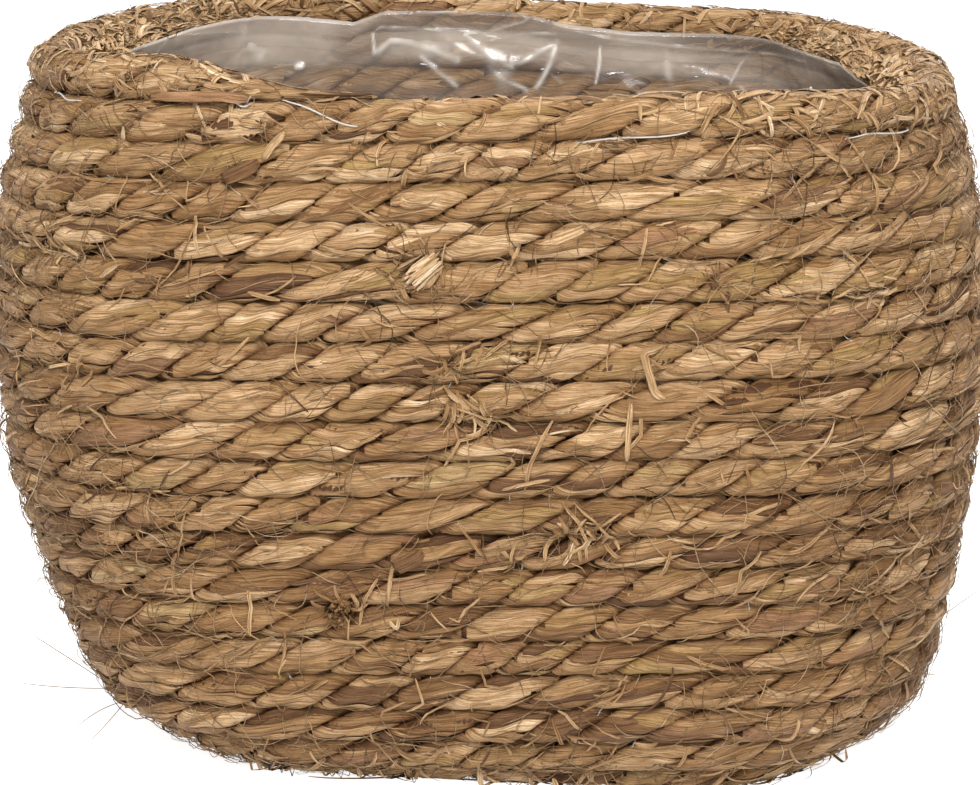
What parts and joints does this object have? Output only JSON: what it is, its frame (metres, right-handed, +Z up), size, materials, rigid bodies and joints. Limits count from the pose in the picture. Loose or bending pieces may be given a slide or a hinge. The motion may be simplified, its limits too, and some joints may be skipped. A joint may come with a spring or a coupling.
{
  "type": "planter basket",
  "caption": "Oblong barrel-shaped basket coiled from thick twisted straw rope, open at the top, with a clear film liner sewn in at the rim",
  "frame": {"origin": "On the ground under the middle of the basket's overall outline", "axes": "+X along the basket's length to the right end as pictured, -Y towards the front that the picture shows, +Z up"},
  "size_m": [0.3154, 0.1932, 0.2313],
  "materials": {
    "straw_rope": "dry twisted straw",
    "liner_film": "clear wrinkled film"
  },
  "bodies": {
    "root": {"base_coil": "straw_rope", "foot_rope": "straw_rope", "wall_rope_1": "straw_rope", "wall_rope_2": "straw_rope", "wall_rope_3": "straw_rope", "wall_rope_4": "straw_rope", "rim_rope": "straw_rope", "liner": "liner_film"}
  },
  "joints": []
}
